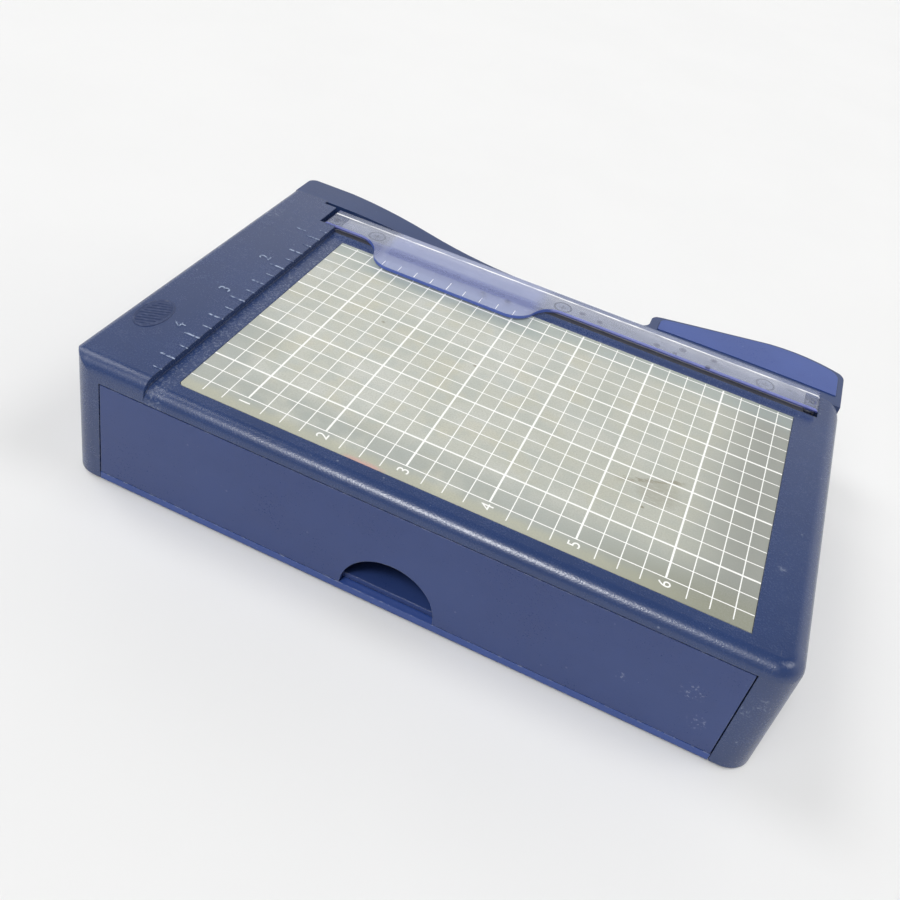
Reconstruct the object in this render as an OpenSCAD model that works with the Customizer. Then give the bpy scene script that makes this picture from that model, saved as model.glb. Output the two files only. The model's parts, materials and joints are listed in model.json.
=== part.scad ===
// Desk paper trimmer with a lever blade, a printed cutting deck and a drawer below it.
// The front with the drawer faces -Y, the blade arm lies along the back and hinges at the left.
// The origin is on the table, under the middle of the whole trimmer.

/* [Deck and panel] */
// Length of the printed panel along the blade
panel_w = 170.6; // [140:0.1:200]
// Depth of the printed panel
panel_d = 103.3; // [80:0.1:130]
// Thickness of the printed panel
panel_t = 3; // [2.2:0.1:3.4]
// Width of the ledge that carries the panel
panel_ledge = 4; // [3:0.1:5]
// Thickness of the adhesive tape under the panel
tape_t = 0.4; // [0.2:0.05:0.6]
// Width of the adhesive tape
tape_w = 3; // [2:0.1:3]
// Radius of the panel's rounded front left corner
panel_r = 1.5; // [0.8:0.1:3]
// Gap between the panel's edge and its recess
panel_gap = 0.15; // [0.1:0.05:0.4]
// Width of the raised fence strip at the left
fence_w = 26; // [23:0.1:34]
// Height of the fence strip above the deck
fence_h = 2.4; // [1.5:0.1:3.5]
// Deck between the fence and the panel
fence_gap = 6.2; // [3:0.1:9]
// Deck to the right of the panel
right_margin = 15.6; // [13:0.1:22]
// Deck in front of the panel
front_margin = 8.3; // [7.5:0.1:14]
// Deck between the panel and the steel bed knife
rib_w = 5.2; // [2:0.05:7]

/* [Body] */
// Thickness of the deck
deck_t = 4.7; // [4.4:0.1:6.5]
// Thickness of the outer walls
wall_t = 2.5; // [1.8:0.1:3.5]
// Radius of the upright corners
corner_r = 8; // [6:0.5:9]
// Radius of the rounded front and right edges of the deck
front_r = 4.6; // [3:0.1:5]
// Radius of the rounded left edge of the fence strip
fence_r = 2.3; // [1.5:0.1:4]
// Width of the front columns beside the drawer
column_w = 10.8; // [9:0.1:12]
// Depth of the front columns
column_d = 12; // [10:0.5:16]
// Height of the drawer bay
bay_h = 34.8; // [32:0.1:44]
// Thickness of the base plate
base_t = 2.5; // [1.8:0.1:3]
// Gap around the base plate
base_gap = 0.2; // [0.1:0.05:0.4]
// Height of the feet below the base plate
foot_h = 1.5; // [1:0.1:3]
// Diameter of the feet
foot_d = 13; // [10:0.5:16]
// Depth of the pockets that hold the feet
foot_pocket = 0.6; // [0.3:0.1:0.9]
// Distance of the feet from the body's sides and front
foot_inset = 22; // [21:0.5:30]
// Diameter of the screw bosses for the base plate
base_boss_d = 7; // [6:0.1:7.4]
// Height of the screw bosses for the base plate
base_boss_h = 15; // [12:0.5:18]

/* [Drawer] */
// Gap around the drawer front
drawer_gap = 0.4; // [0.3:0.05:0.8]
// Thickness of the drawer front
drawer_front_t = 2.5; // [2:0.1:3.5]
// Thickness of the tray's walls
drawer_wall = 2; // [1.4:0.1:2.6]
// Thickness of the tray's floor
drawer_floor = 1.8; // [1.2:0.1:2.6]
// Height of the tray's walls
tray_h = 28; // [26:0.5:30]
// How far the tray's sides stand in from the ends of the drawer front
tray_inset = 2.2; // [1.8:0.1:3]
// How far the tray stops short of the panel's back edge
tray_short = 9; // [6:0.5:20]
// Radius of the finger notch
notch_r = 15; // [10:0.5:18]
// Height of the guide rails on the base plate
rail_h = 4; // [2:0.5:8]
// Thickness of the guide rails
rail_t = 1.2; // [0.8:0.1:1.2]
// How far the stop lugs at the back of the tray stand out
lug = 5; // [4:0.1:6]
// Thickness of the stop lugs
lug_t = 3; // [2.6:0.1:4]
// Height of the stop lugs
lug_h = 4; // [3:0.5:6]

/* [Bed knife] */
// Depth of the bed knife, from its front edge to the cutting edge
knife_w = 13.4; // [12.5:0.05:18]
// Thickness of the bed knife
knife_t = 2.5; // [2:0.1:3]
// How far the bed knife runs past the panel's right edge
knife_over = 2.6; // [1:0.1:4]
// How far the bed knife's edge stands out of the body's back
knife_proud = 0.3; // [0.1:0.05:0.5]
// Gap around the bed knife in its recess
knife_gap = 0.1; // [0.05:0.05:0.3]
// Distance of the screws from the cutting edge
knife_screw_in = 5.4; // [4.2:0.05:7]
// Distance between the screws
knife_pitch = 75.6; // [60:0.1:78]
// Diameter of the small screws
screw_d = 3; // [2.5:0.1:3.2]
// Diameter of their heads
screw_head_d = 6.2; // [5.4:0.1:6.6]
// Height of their heads
screw_head_h = 1.7; // [1.3:0.1:1.8]
// Length of the bed knife's screws
knife_screw_l = 11; // [8:0.5:14]
// Diameter of the screw bosses under the deck
screw_boss_d = 7; // [6:0.1:8]

/* [Guard] */
// Gap between the deck and the clear guard
guard_lift = 1.4; // [1.3:0.1:2.5]
// Thickness of the guard
guard_t = 1.4; // [1.2:0.1:2.2]
// How far the guard's front edge stands behind the bed knife's front edge
guard_back = 0.4; // [0:0.1:2]
// Gap between the guard's back edge and the cutting edge
guard_clear = 0.6; // [0.3:0.05:1.5]
// Width of the bevel along the guard's back edge
bevel_w = 4; // [1:0.1:5]
// Depth of that bevel
bevel_h = 0.7; // [0.3:0.1:1.2]
// How far the finger ledge reaches forward of the guard
ledge_d = 13.6; // [9:0.1:15]
// Length of the finger ledge's straight front edge
ledge_w = 44.8; // [30:0.1:70]
// Distance of that edge from the fence
ledge_x = 28.4; // [20:0.1:40]
// Length of the curve at each end of the ledge
ledge_s = 18; // [16:0.1:20]
// Gap between the deck and the ledge
ledge_lift = 0.9; // [0.8:0.05:1.2]
// How far the ledge's top lies below the guard's top
ledge_drop = 0.7; // [0.5:0.05:1]
// Width of the slope from the guard down to the ledge
ledge_slope = 5.2; // [1:0.1:6]
// Width of the bevel at each end of the guard
end_bevel = 0.9; // [0.4:0.1:1]
// Travel of the guard when it is pressed down
guard_travel = 0.6; // [0.3:0.05:0.6]
// Diameter of the guide posts
post_d = 2.6; // [2:0.1:2.8]
// Running clearance of a post in its bore
post_gap = 0.06; // [0.02:0.01:0.1]
// Distance of the posts from the cutting edge
post_in = 7.05; // [6:0.05:9]
// Width of the pocket at the right end of the guard
pocket_w = 5; // [4.8:0.1:6.5]
// Width of the pocket in the fence at the left end of the guard
pocket_fence_w = 6.4; // [6:0.1:9]
// Gap between the guard's front edge and the front of the fence's pocket
pocket_gap = 0.5; // [0.4:0.05:1]
// Depth of both pockets below the deck
pocket_h = 6; // [5.2:0.1:7]
// Thickness of the pocket's floor
pocket_floor = 3; // [2:0.1:4]
// Wall around the pockets
pocket_wall = 2; // [1.2:0.1:2.2]
// Diameter of the spring's wire
wire_d = 0.6; // [0.4:0.05:0.6]
// Turns of each spring
spring_turns = 5; // [3:1:5]
// Gap between a post and its spring
spring_gap = 0.3; // [0.2:0.05:0.3]
// Diameter of the retaining clips
clip_d = 6; // [5:0.1:7]
// Thickness of the retaining clips
clip_t = 0.8; // [0.5:0.1:1.2]

/* [Blade arm] */
// Height of the arm's hinge end above the deck
arm_top = 2; // [0:0.1:2.3]
// How far the arm's hinge end stands in from the body's left face
arm_inset = 0.6; // [0:0.1:1]
// Thickness of the hinge end
hinge_t = 13; // [11.5:0.1:15]
// Length of the straight hinge end
hinge_l = 19; // [17:0.5:30]
// Length over which the arm narrows from the hinge end to the neck
taper_l = 76; // [50:1:85]
// Length over which the arm's top falls from the hinge end to the neck
fall_l = 66; // [40:1:75]
// Length over which the arm's top rises from the neck to the handle
rise_l = 6; // [4:0.5:12]
// Thickness of the neck
neck_t = 5.75; // [5:0.05:8]
// Depth of the neck's top below the deck
neck_drop = 3; // [2.9:0.1:3.5]
// Depth of the arm's lower edge below the deck
arm_drop = 9.5; // [9.2:0.1:9.6]
// Length of the handle
handle_l = 72.2; // [68:0.1:76]
// Width of the handle at its widest
handle_w = 26; // [19:0.5:28]
// Radius of the handle's rounded end
handle_r = 52; // [35:1:60]
// Distance of the handle's widest place from its right end
handle_apex = 20; // [18:0.5:30]
// Slope of the handle's back edge
handle_slope = 14; // [8:0.5:16]
// Depth of the handle's slightly arched top below the deck
handle_drop = 2; // [1.6:0.1:2.1]
// Radius of that arch
handle_arch_r = 1500; // [1200:50:2500]
// Distance of the arch's highest place from the handle's right end
handle_arch_x = 36; // [32:1:42]
// Radius of the upright corners of the arm
handle_corner_r = 3; // [2:0.1:4]
// Radius of the upright corner at the handle's end
handle_end_r = 4.8; // [3:0.1:6]
// Radius of the rounding along the handle's back edge
rim_r = 1.2; // [0.8:0.1:1.6]
// Thickness of the grip pad
grip_t = 1.6; // [1:0.1:2.4]
// How far the grip pad stands out of the handle
grip_proud = 0.3; // [0.1:0.05:0.6]
// Border of the handle behind the grip pad
grip_border = 2; // [1.6:0.1:3]
// Border of the handle to the left of the grip pad
grip_left = 3.4; // [2.5:0.1:5]
// Border of the handle to the right of the grip pad
grip_right = 2.2; // [2:0.1:4]
// Border of the handle in front of the grip pad
grip_front = 6; // [3:0.1:7]
// Gap around the grip pad
grip_gap = 0.1; // [0.05:0.05:0.2]

/* [Blade] */
// Thickness of the cutting blade
blade_t = 2; // [1.5:0.1:2.5]
// Gap between the blade and the bed knife
blade_gap = 0.1; // [0.05:0.01:0.15]
// Depth of the blade's upper edge below the deck
blade_drop = 3.6; // [3.2:0.1:3.8]
// Depth of the cutting edge below the deck at its lowest place
edge_drop = 16; // [15:0.1:19]
// Radius of the curved cutting edge
edge_r = 900; // [700:10:1500]
// Width of the ground bevel
grind_w = 3; // [1.5:0.1:4]
// Thickness left at the cutting edge
edge_t = 0.4; // [0.2:0.05:0.8]
// How far the blade runs past the bed knife
blade_over = 3; // [1:0.5:5]
// Number of screws that hold the blade
blade_screws_n = 4; // [3:1:5]
// Length of the blade's screws
blade_screw_l = 6; // [5:0.1:6.5]

/* [Hinge] */
// Distance of the pivot from the body's left face
pivot_inset = 10; // [9.6:0.1:11]
// Depth of the pivot below the deck
pivot_drop = 10; // [9.6:0.1:11]
// Length of the thick back corner that faces the arm
step_w = 14.5; // [13:0.1:16]
// Diameter of the pivot bolt
bolt_d = 6; // [5:0.1:6.4]
// Diameter of the bolt's head
bolt_head_d = 11; // [9.6:0.1:12]
// Height of the bolt's head
bolt_head_h = 3.5; // [2.5:0.1:4]
// How deep the bolt's head lies in the arm
bolt_sink = 0.8; // [0.3:0.1:1.2]
// Outer diameter of the bush in the arm
bush_d = 9; // [8:0.1:9.4]
// Running clearance of the bush on the bolt
bush_gap = 0.05; // [0.02:0.01:0.1]
// Gap between the arm and the body
pivot_gap = 0.3; // [0.2:0.05:0.5]
// Thickness of the body's boss at the pivot
boss_t = 8; // [6:0.1:10]
// Diameter of the thrust washer
washer_d = 11; // [10:0.1:11]
// Thickness of the thrust washer
washer_t = 1; // [0.8:0.1:1.5]
// Thickness of the disc spring's steel
disc_t = 0.8; // [0.5:0.1:1]
// Height of the disc spring
disc_h = 1.5; // [1.2:0.1:2]
// Diameter of the disc spring
disc_d = 11.6; // [10.4:0.1:11.8]
// Size of the nut across its flats
nut_af = 10; // [9:0.1:11]
// Height of the nut
nut_h = 5; // [4:0.1:6]
// Room around the nut and the disc spring
nut_room = 0.6; // [0.4:0.1:1]
// Length of bolt past the nut
bolt_over = 1.5; // [0.5:0.1:3]
// Distance of the stop pin from the pivot
stop_r = 7.3; // [7.3:0.05:7.6]
// Diameter of the stop pin
stop_d = 3; // [2:0.1:3]
// How far the stop pin reaches into the arm
stop_in = 3; // [2:0.1:4]
// How far the arm opens, in degrees
arm_swing = 60; // [40:1:70]

/* [Hidden] */

$fn = 64;
// Segments of the wide curves
wide = 360;
// Overlap of a cut past a surface
past = 1;
// Small clearance between fastened pieces
snug = 0.05;
// How far a rounding's circle crosses the edges that it runs into
graze = 0.02;

// Colours
navy = [0.10, 0.14, 0.30];
bright = [0.14, 0.20, 0.48];
steel = [0.68, 0.69, 0.70];
zinc = [0.75, 0.75, 0.73];
rubber = [0.12, 0.12, 0.13];
clear_blue = [0.60, 0.63, 0.85, 0.6];
frosted = [0.70, 0.73, 0.69];

// Places across the trimmer
body_w = fence_w + fence_gap + panel_w + right_margin;
left_x = -body_w / 2;
right_x = body_w / 2;
fence_x = left_x + fence_w;
panel_x = fence_x + fence_gap;
knife_x0 = fence_x + knife_gap;
knife_x1 = panel_x + panel_w + knife_over;
pivot_x = left_x + pivot_inset;
arm_x0 = left_x + arm_inset;
step_x = left_x + step_w;
handle_x0 = right_x - handle_l;

// Places from front to back
body_d = front_margin + panel_d + rib_w + knife_w;
total_d = body_d + blade_gap + blade_t + handle_w;
front_y = -total_d / 2;
panel_y = front_y + front_margin;
knife_y = panel_y + panel_d + rib_w;
cut_y = front_y + body_d;
back_y = cut_y - knife_proud;
arm_y = cut_y + blade_gap + blade_t;
boss_y1 = arm_y - pivot_gap;
boss_y0 = boss_y1 - boss_t;
guard_y = knife_y + guard_back;
guard_w = knife_w - guard_back - guard_clear;
pocket_y = guard_y - pocket_gap;

// Heights above the table
base_z = foot_h;
bay_z = base_z + base_t;
under_z = bay_z + bay_h;
deck_z = under_z + deck_t;
fence_z = deck_z + fence_h;
pivot_z = deck_z - pivot_drop;
guard_z = deck_z + guard_lift;
pocket_z = deck_z - pocket_h;
tower_z = pocket_z - pocket_floor;

// Drawer
drawer_x0 = left_x + column_w + drawer_gap;
drawer_x1 = right_x - column_w - drawer_gap;
drawer_w = drawer_x1 - drawer_x0;
drawer_z = bay_z + drawer_gap;
tray_x0 = drawer_x0 + tray_inset;
tray_w = drawer_w - 2 * tray_inset;
tray_d = front_margin + panel_d - tray_short;
lug_z = drawer_z + tray_h - lug_h;
rail_y = front_y + drawer_front_t + 2;

// Posts and springs of the guard
post_xs = [
  fence_x - spring_gap - post_d / 2 - wire_d - 0.2,
  knife_x1 + pocket_w / 2
];
post_y = cut_y - post_in;
guard_x0 = post_xs[0] - post_d / 2 - 1;
guard_x1 = post_xs[1] + post_d / 2 + 0.6;
spring_r = post_d / 2 + spring_gap + wire_d / 2;
spring_h = guard_z - pocket_z;

// Screws
base_screw_x = wall_t + base_gap + screw_head_d / 2 + 0.7;
base_screw_ys = [front_y + column_d + base_boss_d, back_y - wall_t - base_boss_d];
base_screw_l = 10;
web_t = 2;
knife_mid = (knife_x0 + knife_x1) / 2;
blade_x1 = knife_x1 + blade_over;
heel_r = norm([step_w - pivot_inset, fence_h + pivot_drop]) + 0.4;
blade_x0 = pivot_x + heel_r;
blade_screw_z = deck_z - blade_drop - screw_head_d / 2 - 0.3;
blade_screw_xs = [
  for (i = [0 : blade_screws_n - 1])
    blade_x0 + 12 + i * (blade_x1 - blade_x0 - 24) / (blade_screws_n - 1)
];

// Hinge
hinge_r = pivot_inset + 0.3;
boss_r = pivot_inset - 0.5;
recess_d = washer_t - pivot_gap + snug;
bolt_seat_y = arm_y + hinge_t - bolt_sink - bolt_head_h;
nut_y = boss_y0 - disc_h - nut_h;

// Radius of two equal arcs that join two level lines
function s_radius(length, rise) = (length * length + rise * rise) / (4 * rise);
// Height of the handle's arch above its highest place, at a distance from it
function arch(dx) = sqrt(handle_arch_r * handle_arch_r - dx * dx) - handle_arch_r;

// Corner between two edges, outside a rounding of the given radius
module corner_waste(r) {
  difference() {
    translate([-past, -past]) square(r + past);
    translate([r, r]) circle(r);
  }
}

// Level line at the left that falls in an S to zero at the right
module s_fall(length, rise) {
  r = s_radius(length, rise);
  intersection() {
    square([length / 2, rise]);
    translate([0, rise - r]) circle(r, $fn = wide);
  }
  if (rise > r) square([length / 2, rise - r]);
  difference() {
    translate([length / 2, 0]) square([length / 2, rise / 2]);
    translate([length, r]) circle(r, $fn = wide);
  }
}

// Turns a shape drawn in X and Z so that it reaches back from y0 to y1
module along_y(y0, y1) {
  translate([0, y1, 0]) rotate([90, 0, 0]) linear_extrude(y1 - y0) children();
}

// Turns a shape drawn in Y and Z so that it reaches from x0 to x1
module along_x(x0, x1) {
  translate([x0, 0, 0]) rotate([90, 0, 90]) linear_extrude(x1 - x0) children();
}

// Cylinder that points back
module rod_y(d, y0, y1) {
  translate([0, y0, 0]) rotate([-90, 0, 0]) cylinder(d = d, h = y1 - y0);
}

// Flat-headed screw that points up, with its head's face at zero and a cross recess
module flat_screw(length) {
  difference() {
    union() {
      cylinder(d1 = screw_head_d, d2 = screw_d, h = screw_head_h);
      cylinder(d = screw_d, h = length);
    }
    for (a = [0, 90])
      rotate(a) translate([-screw_head_d / 4, -screw_d / 10, -past])
        cube([screw_head_d / 2, screw_d / 5, past + screw_head_h * 0.7]);
  }
}

// Room for a flat-headed screw
module screw_room(length) {
  cylinder(d1 = screw_head_d + 2 * snug, d2 = screw_d + 2 * snug, h = screw_head_h);
  cylinder(d = screw_d + 2 * snug, h = length + snug);
  translate([0, 0, -past]) cylinder(d = screw_head_d + 2 * snug, h = past + snug / 10);
}

// Outline of the body seen from above
module body_plan() {
  difference() {
    translate([left_x, front_y]) square([body_w, body_d - knife_proud]);
    translate([left_x, front_y]) corner_waste(corner_r);
    translate([right_x, front_y]) mirror([1, 0]) corner_waste(corner_r);
    translate([right_x, back_y]) rotate(180) corner_waste(corner_r);
  }
}

// Section of the body from front to back, under a rounded front edge
module front_profile(top) {
  difference() {
    translate([front_y, base_z]) square([body_d + blade_t, top - base_z]);
    translate([front_y, top]) mirror([0, 1]) corner_waste(front_r);
  }
}

// Waste outside the rounded front and right edges of the deck and the corner between them
module deck_edge_waste() {
  x = right_x - corner_r;
  y = front_y + corner_r;
  along_x(fence_x - 2 * past, x) translate([front_y, deck_z]) mirror([0, 1]) corner_waste(front_r);
  along_y(y, back_y + past) translate([right_x, deck_z]) rotate(180) corner_waste(front_r);
  translate([x, y, deck_z]) rotate(-90) rotate_extrude(angle = 90)
    translate([corner_r, 0]) rotate(180) corner_waste(front_r);
}

// Solid outer form of the body, with the raised fence strip at the left
module body_form() {
  difference() {
    translate([0, 0, base_z]) linear_extrude(deck_z - base_z) intersection() {
      body_plan();
      translate([fence_x - past, front_y]) square([body_w, body_d]);
    }
    deck_edge_waste();
  }
  intersection() {
    translate([0, 0, base_z]) linear_extrude(fence_z) union() {
      body_plan();
      translate([left_x, cut_y - corner_r]) square([step_w, boss_y1 - cut_y + corner_r]);
    }
    along_x(left_x, fence_x) front_profile(fence_z);
    along_y(front_y, boss_y1) difference() {
      translate([left_x, base_z]) square([fence_w, fence_z - base_z]);
      translate([left_x, fence_z]) mirror([0, 1]) corner_waste(fence_r);
    }
  }
}

// Hollow of the body: the drawer bay and the room behind it
module body_hollow() {
  translate([left_x + wall_t, front_y + column_d, base_z - past])
    cube([body_w - 2 * wall_t, back_y - wall_t - front_y - column_d, under_z - base_z + past]);
  translate([left_x + column_w, front_y - past, base_z - past])
    cube([body_w - 2 * column_w, column_d + 2 * past, under_z - base_z + past]);
}

// Places of the base plate's screws
module at_base_screws() {
  for (x = [left_x + base_screw_x, right_x - base_screw_x])
    for (y = base_screw_ys)
      translate([x, y, base_z]) children();
}

// Webs that join those screw bosses to the side walls
module base_boss_webs() {
  for (x = [left_x + wall_t / 2, right_x - wall_t / 2 - base_screw_x])
    for (y = base_screw_ys)
      translate([x, y - web_t / 2, bay_z + base_gap]) cube([base_screw_x, web_t, base_boss_h]);
}

// Places of the bed knife's screws
module at_knife_screws() {
  for (i = [-1 : 1])
    translate([knife_mid + i * knife_pitch, cut_y - knife_screw_in, deck_z]) children();
}

// Blocks under the deck that hold the guard's posts
module post_towers() {
  tower_y = pocket_y - pocket_wall;
  tower_h = under_z - tower_z + past;
  for (x = [[fence_x - pocket_fence_w, fence_x], [knife_x1, knife_x1 + pocket_w]])
    translate([x[0] - pocket_wall, tower_y, tower_z])
      cube([x[1] - x[0] + 2 * pocket_wall, back_y - tower_y, tower_h]);
}

// Recesses in the deck for the panel, the bed knife and the ends of the guard
module deck_recesses() {
  seat = panel_t + tape_t;
  translate([panel_x - panel_gap, panel_y - panel_gap, deck_z - seat])
    linear_extrude(seat + past) difference() {
      square([panel_w + 2 * panel_gap, panel_d + 2 * panel_gap]);
      corner_waste(panel_r);
    }
  translate([panel_x + panel_ledge, panel_y + panel_ledge, under_z - past])
    cube([panel_w - 2 * panel_ledge, panel_d - 2 * panel_ledge, deck_t + 2 * past]);
  translate([fence_x, knife_y - knife_gap, deck_z - knife_t])
    cube([knife_x1 + knife_gap - fence_x, knife_w + past, knife_t + past]);
  translate([fence_x - pocket_fence_w, pocket_y, pocket_z])
    cube([pocket_fence_w + knife_gap, cut_y + past - pocket_y, fence_z - pocket_z + past]);
  translate([knife_x1, pocket_y, pocket_z])
    cube([pocket_w, cut_y + past - pocket_y, pocket_h + past]);
}

module housing() {
  color(navy) difference() {
    union() {
      difference() {
        body_form();
        body_hollow();
      }
      at_base_screws() translate([0, 0, base_t + base_gap]) cylinder(d = base_boss_d, h = base_boss_h);
      base_boss_webs();
      at_knife_screws() translate([0, 0, -knife_screw_l - past])
        cylinder(d = screw_boss_d, h = knife_screw_l + past - knife_t);
      translate([pivot_x, 0, pivot_z]) rod_y(2 * boss_r, boss_y0, boss_y1);
      post_towers();
    }
    deck_recesses();
    at_base_screws() screw_room(base_screw_l);
    at_knife_screws() mirror([0, 0, 1]) screw_room(knife_screw_l);
    for (x = post_xs)
      translate([x, post_y, tower_z - past])
        cylinder(d = post_d + 2 * post_gap, h = pocket_floor + 2 * past);
    translate([pivot_x, 0, pivot_z]) {
      rod_y(bolt_d + 2 * snug, boss_y0 - past, boss_y1 + past);
      rod_y(max(disc_d, nut_af / cos(30)) + 2 * nut_room, nut_y - bolt_over - past, boss_y0);
    }
    translate([pivot_x + stop_r, 0, pivot_z]) rod_y(stop_d, boss_y1 - boss_t / 2, boss_y1 + past);
  }
}

module base_plate() {
  inner_x = left_x + wall_t + base_gap;
  inner_w = body_w - 2 * (wall_t + base_gap);
  inner_y = front_y + column_d + base_gap;
  tongue_x = left_x + column_w + base_gap;
  tongue_w = body_w - 2 * (column_w + base_gap);
  color(bright) difference() {
    union() {
      translate([inner_x, inner_y, base_z])
        cube([inner_w, back_y - wall_t - base_gap - inner_y, base_t]);
      translate([tongue_x, front_y, base_z]) cube([tongue_w, column_d + 2 * base_gap, base_t]);
      for (x = [tray_x0 - drawer_gap - rail_t, tray_x0 + tray_w + drawer_gap])
        translate([x, rail_y, base_z + base_t / 2])
          cube([rail_t, front_y + tray_d - rail_y, base_t / 2 + rail_h]);
    }
    at_base_screws() screw_room(base_screw_l);
    at_feet() translate([0, 0, -past]) cylinder(d = foot_d + 2 * snug, h = past + foot_pocket);
  }
}

module base_screws() {
  color(zinc) at_base_screws() flat_screw(base_screw_l);
}

// Places of the feet on the base plate's underside
module at_feet() {
  for (x = [left_x + foot_inset, right_x - foot_inset])
    for (y = [front_y + foot_inset, back_y - foot_inset])
      translate([x, y, base_z]) children();
}

module rubber_feet() {
  color(rubber) at_feet() translate([0, 0, -foot_h]) rotate_extrude() polygon([
    [0, 0], [foot_d / 2 - foot_h / 2, 0], [foot_d / 2, foot_h], [foot_d / 2, foot_h + foot_pocket],
    [0, foot_h + foot_pocket]
  ]);
}

module drawer() {
  wall_y = front_y + drawer_front_t;
  front_h = bay_h - 2 * drawer_gap;
  color(navy) difference() {
    union() {
      translate([drawer_x0, front_y, drawer_z]) cube([drawer_w, drawer_front_t, front_h]);
      difference() {
        translate([tray_x0, front_y + drawer_front_t / 2, drawer_z])
          cube([tray_w, tray_d - drawer_front_t / 2, tray_h]);
        translate([tray_x0 + drawer_wall, wall_y, drawer_z + drawer_floor])
          cube([
            tray_w - 2 * drawer_wall, tray_d - drawer_front_t - drawer_wall, tray_h
          ]);
      }
      translate([tray_x0 - lug, front_y + tray_d - lug_t, lug_z])
        cube([tray_w + 2 * lug, lug_t, lug_h]);
    }
    translate([tray_x0 + drawer_wall, front_y + tray_d - lug_t - past, drawer_z + drawer_floor])
      cube([tray_w - 2 * drawer_wall, lug_t + past - drawer_wall, tray_h + past]);
    translate([(drawer_x0 + drawer_x1) / 2, 0, drawer_z]) {
      rod_y(2 * notch_r, front_y - past, wall_y);
      intersection() {
        rod_y(2 * notch_r, wall_y - past, wall_y + past);
        translate([-notch_r, wall_y - past, drawer_floor]) cube([2 * notch_r, 2 * past, notch_r]);
      }
    }
  }
}

module grid_panel() {
  color(frosted) translate([panel_x, panel_y, deck_z - panel_t]) linear_extrude(panel_t) difference() {
    square([panel_w, panel_d]);
    corner_waste(panel_r);
  }
}

module panel_tape() {
  color(zinc) translate([panel_x, panel_y, deck_z - panel_t - tape_t]) linear_extrude(tape_t) difference() {
    translate([panel_ledge - tape_w, panel_ledge - tape_w])
      square([panel_w - 2 * (panel_ledge - tape_w), panel_d - 2 * (panel_ledge - tape_w)]);
    translate([panel_ledge, panel_ledge]) square([panel_w - 2 * panel_ledge, panel_d - 2 * panel_ledge]);
  }
}

module bed_knife() {
  color(steel) difference() {
    translate([knife_x0, knife_y, deck_z - knife_t]) cube([knife_x1 - knife_x0, knife_w, knife_t]);
    at_knife_screws() mirror([0, 0, 1]) screw_room(knife_screw_l);
  }
}

module bed_knife_screws() {
  color(zinc) at_knife_screws() mirror([0, 0, 1]) flat_screw(knife_screw_l);
}

// Outline of the guard's finger ledge, forward of the guard's front edge
module ledge_plan() {
  mirror([0, 1]) {
    square([ledge_w, ledge_d]);
    translate([ledge_w, 0]) s_fall(ledge_s, ledge_d);
    mirror([1, 0]) s_fall(ledge_s, ledge_d);
  }
}

// Waste outside the bevel at the guard's right end, seen from the front
module end_waste() {
  polygon([[-end_bevel - past, past], [past, -end_bevel - past], [past, past]]);
}

module guard() {
  top = guard_lift + guard_t;
  ledge_top = top - ledge_drop;
  root = 1.6;
  color(clear_blue) {
    difference() {
      along_x(guard_x0, guard_x1) translate([guard_y, deck_z]) polygon([
        [0, guard_lift], [guard_w, guard_lift], [guard_w, top - bevel_h], [guard_w - bevel_w, top], [0, top]
      ]);
      along_y(guard_y - past, guard_y + guard_w + past) {
        translate([guard_x1, deck_z + top]) end_waste();
        translate([guard_x0, deck_z + top]) mirror([1, 0]) end_waste();
      }
    }
    intersection() {
      translate([fence_x + ledge_x, guard_y, deck_z]) linear_extrude(top) union() {
        ledge_plan();
        translate([-ledge_s, -past / 100]) square([ledge_w + 2 * ledge_s, root]);
      }
      along_x(fence_x, knife_x1) translate([guard_y, deck_z]) polygon([
        [-ledge_d, ledge_lift], [-ledge_slope, ledge_lift], [-graze, guard_lift], [root, guard_lift],
        [root, top], [-graze, top], [-ledge_slope, ledge_top], [-ledge_d, ledge_top]
      ]);
    }
    for (x = post_xs)
      translate([x, post_y, tower_z - clip_t - 2 * snug - 0.8])
        cylinder(d = post_d, h = guard_z + guard_t / 2 - tower_z + clip_t + 2 * snug + 0.8);
  }
}

module guard_clips() {
  color(zinc) for (x = post_xs)
    translate([x, post_y, tower_z - clip_t - snug]) difference() {
      cylinder(d = clip_d, h = clip_t);
      translate([0, 0, -past]) cylinder(d = post_d + snug, h = clip_t + 2 * past);
    }
}

// Middle of a spring's wire at ring i of a coil with eight rings a turn
spring_rings = 8 * spring_turns;
function spring_mid(i) = [
  spring_r * cos(45 * i), spring_r * sin(45 * i),
  wire_d / 2 + (spring_h - wire_d) * i / spring_rings
];
// Corner k of the six at ring i
function spring_point(i, k) =
  let (out = wire_d / 2 * cos(60 * k))
  spring_mid(i) + [out * cos(45 * i), out * sin(45 * i), wire_d / 2 * sin(60 * k)];
spring_faces = concat(
  [[for (k = [0 : 5]) k]],
  [
    for (i = [0 : spring_rings - 1])
      for (k = [0 : 5])
        for (t = [0, 1])
          let (a = 6 * i + k, b = 6 * i + (k + 1) % 6)
          t == 0 ? [a, a + 6, b] : [b, a + 6, b + 6]
  ],
  [[for (k = [5 : -1 : 0]) 6 * spring_rings + k]]
);
// Least gap between two turns, measured between rings about a turn apart
spring_least = min([
  for (i = [0 : spring_rings - 6])
    for (j = [i + 6 : min(i + 10, spring_rings)])
      norm(spring_mid(j) - spring_mid(i)) - wire_d
]);

module guard_springs() {
  echo(least_spring_gap = spring_least);
  color(zinc) for (x = post_xs)
    translate([x, post_y, pocket_z])
      polyhedron([for (i = [0 : spring_rings]) for (k = [0 : 5]) spring_point(i, k)], spring_faces);
}

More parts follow.
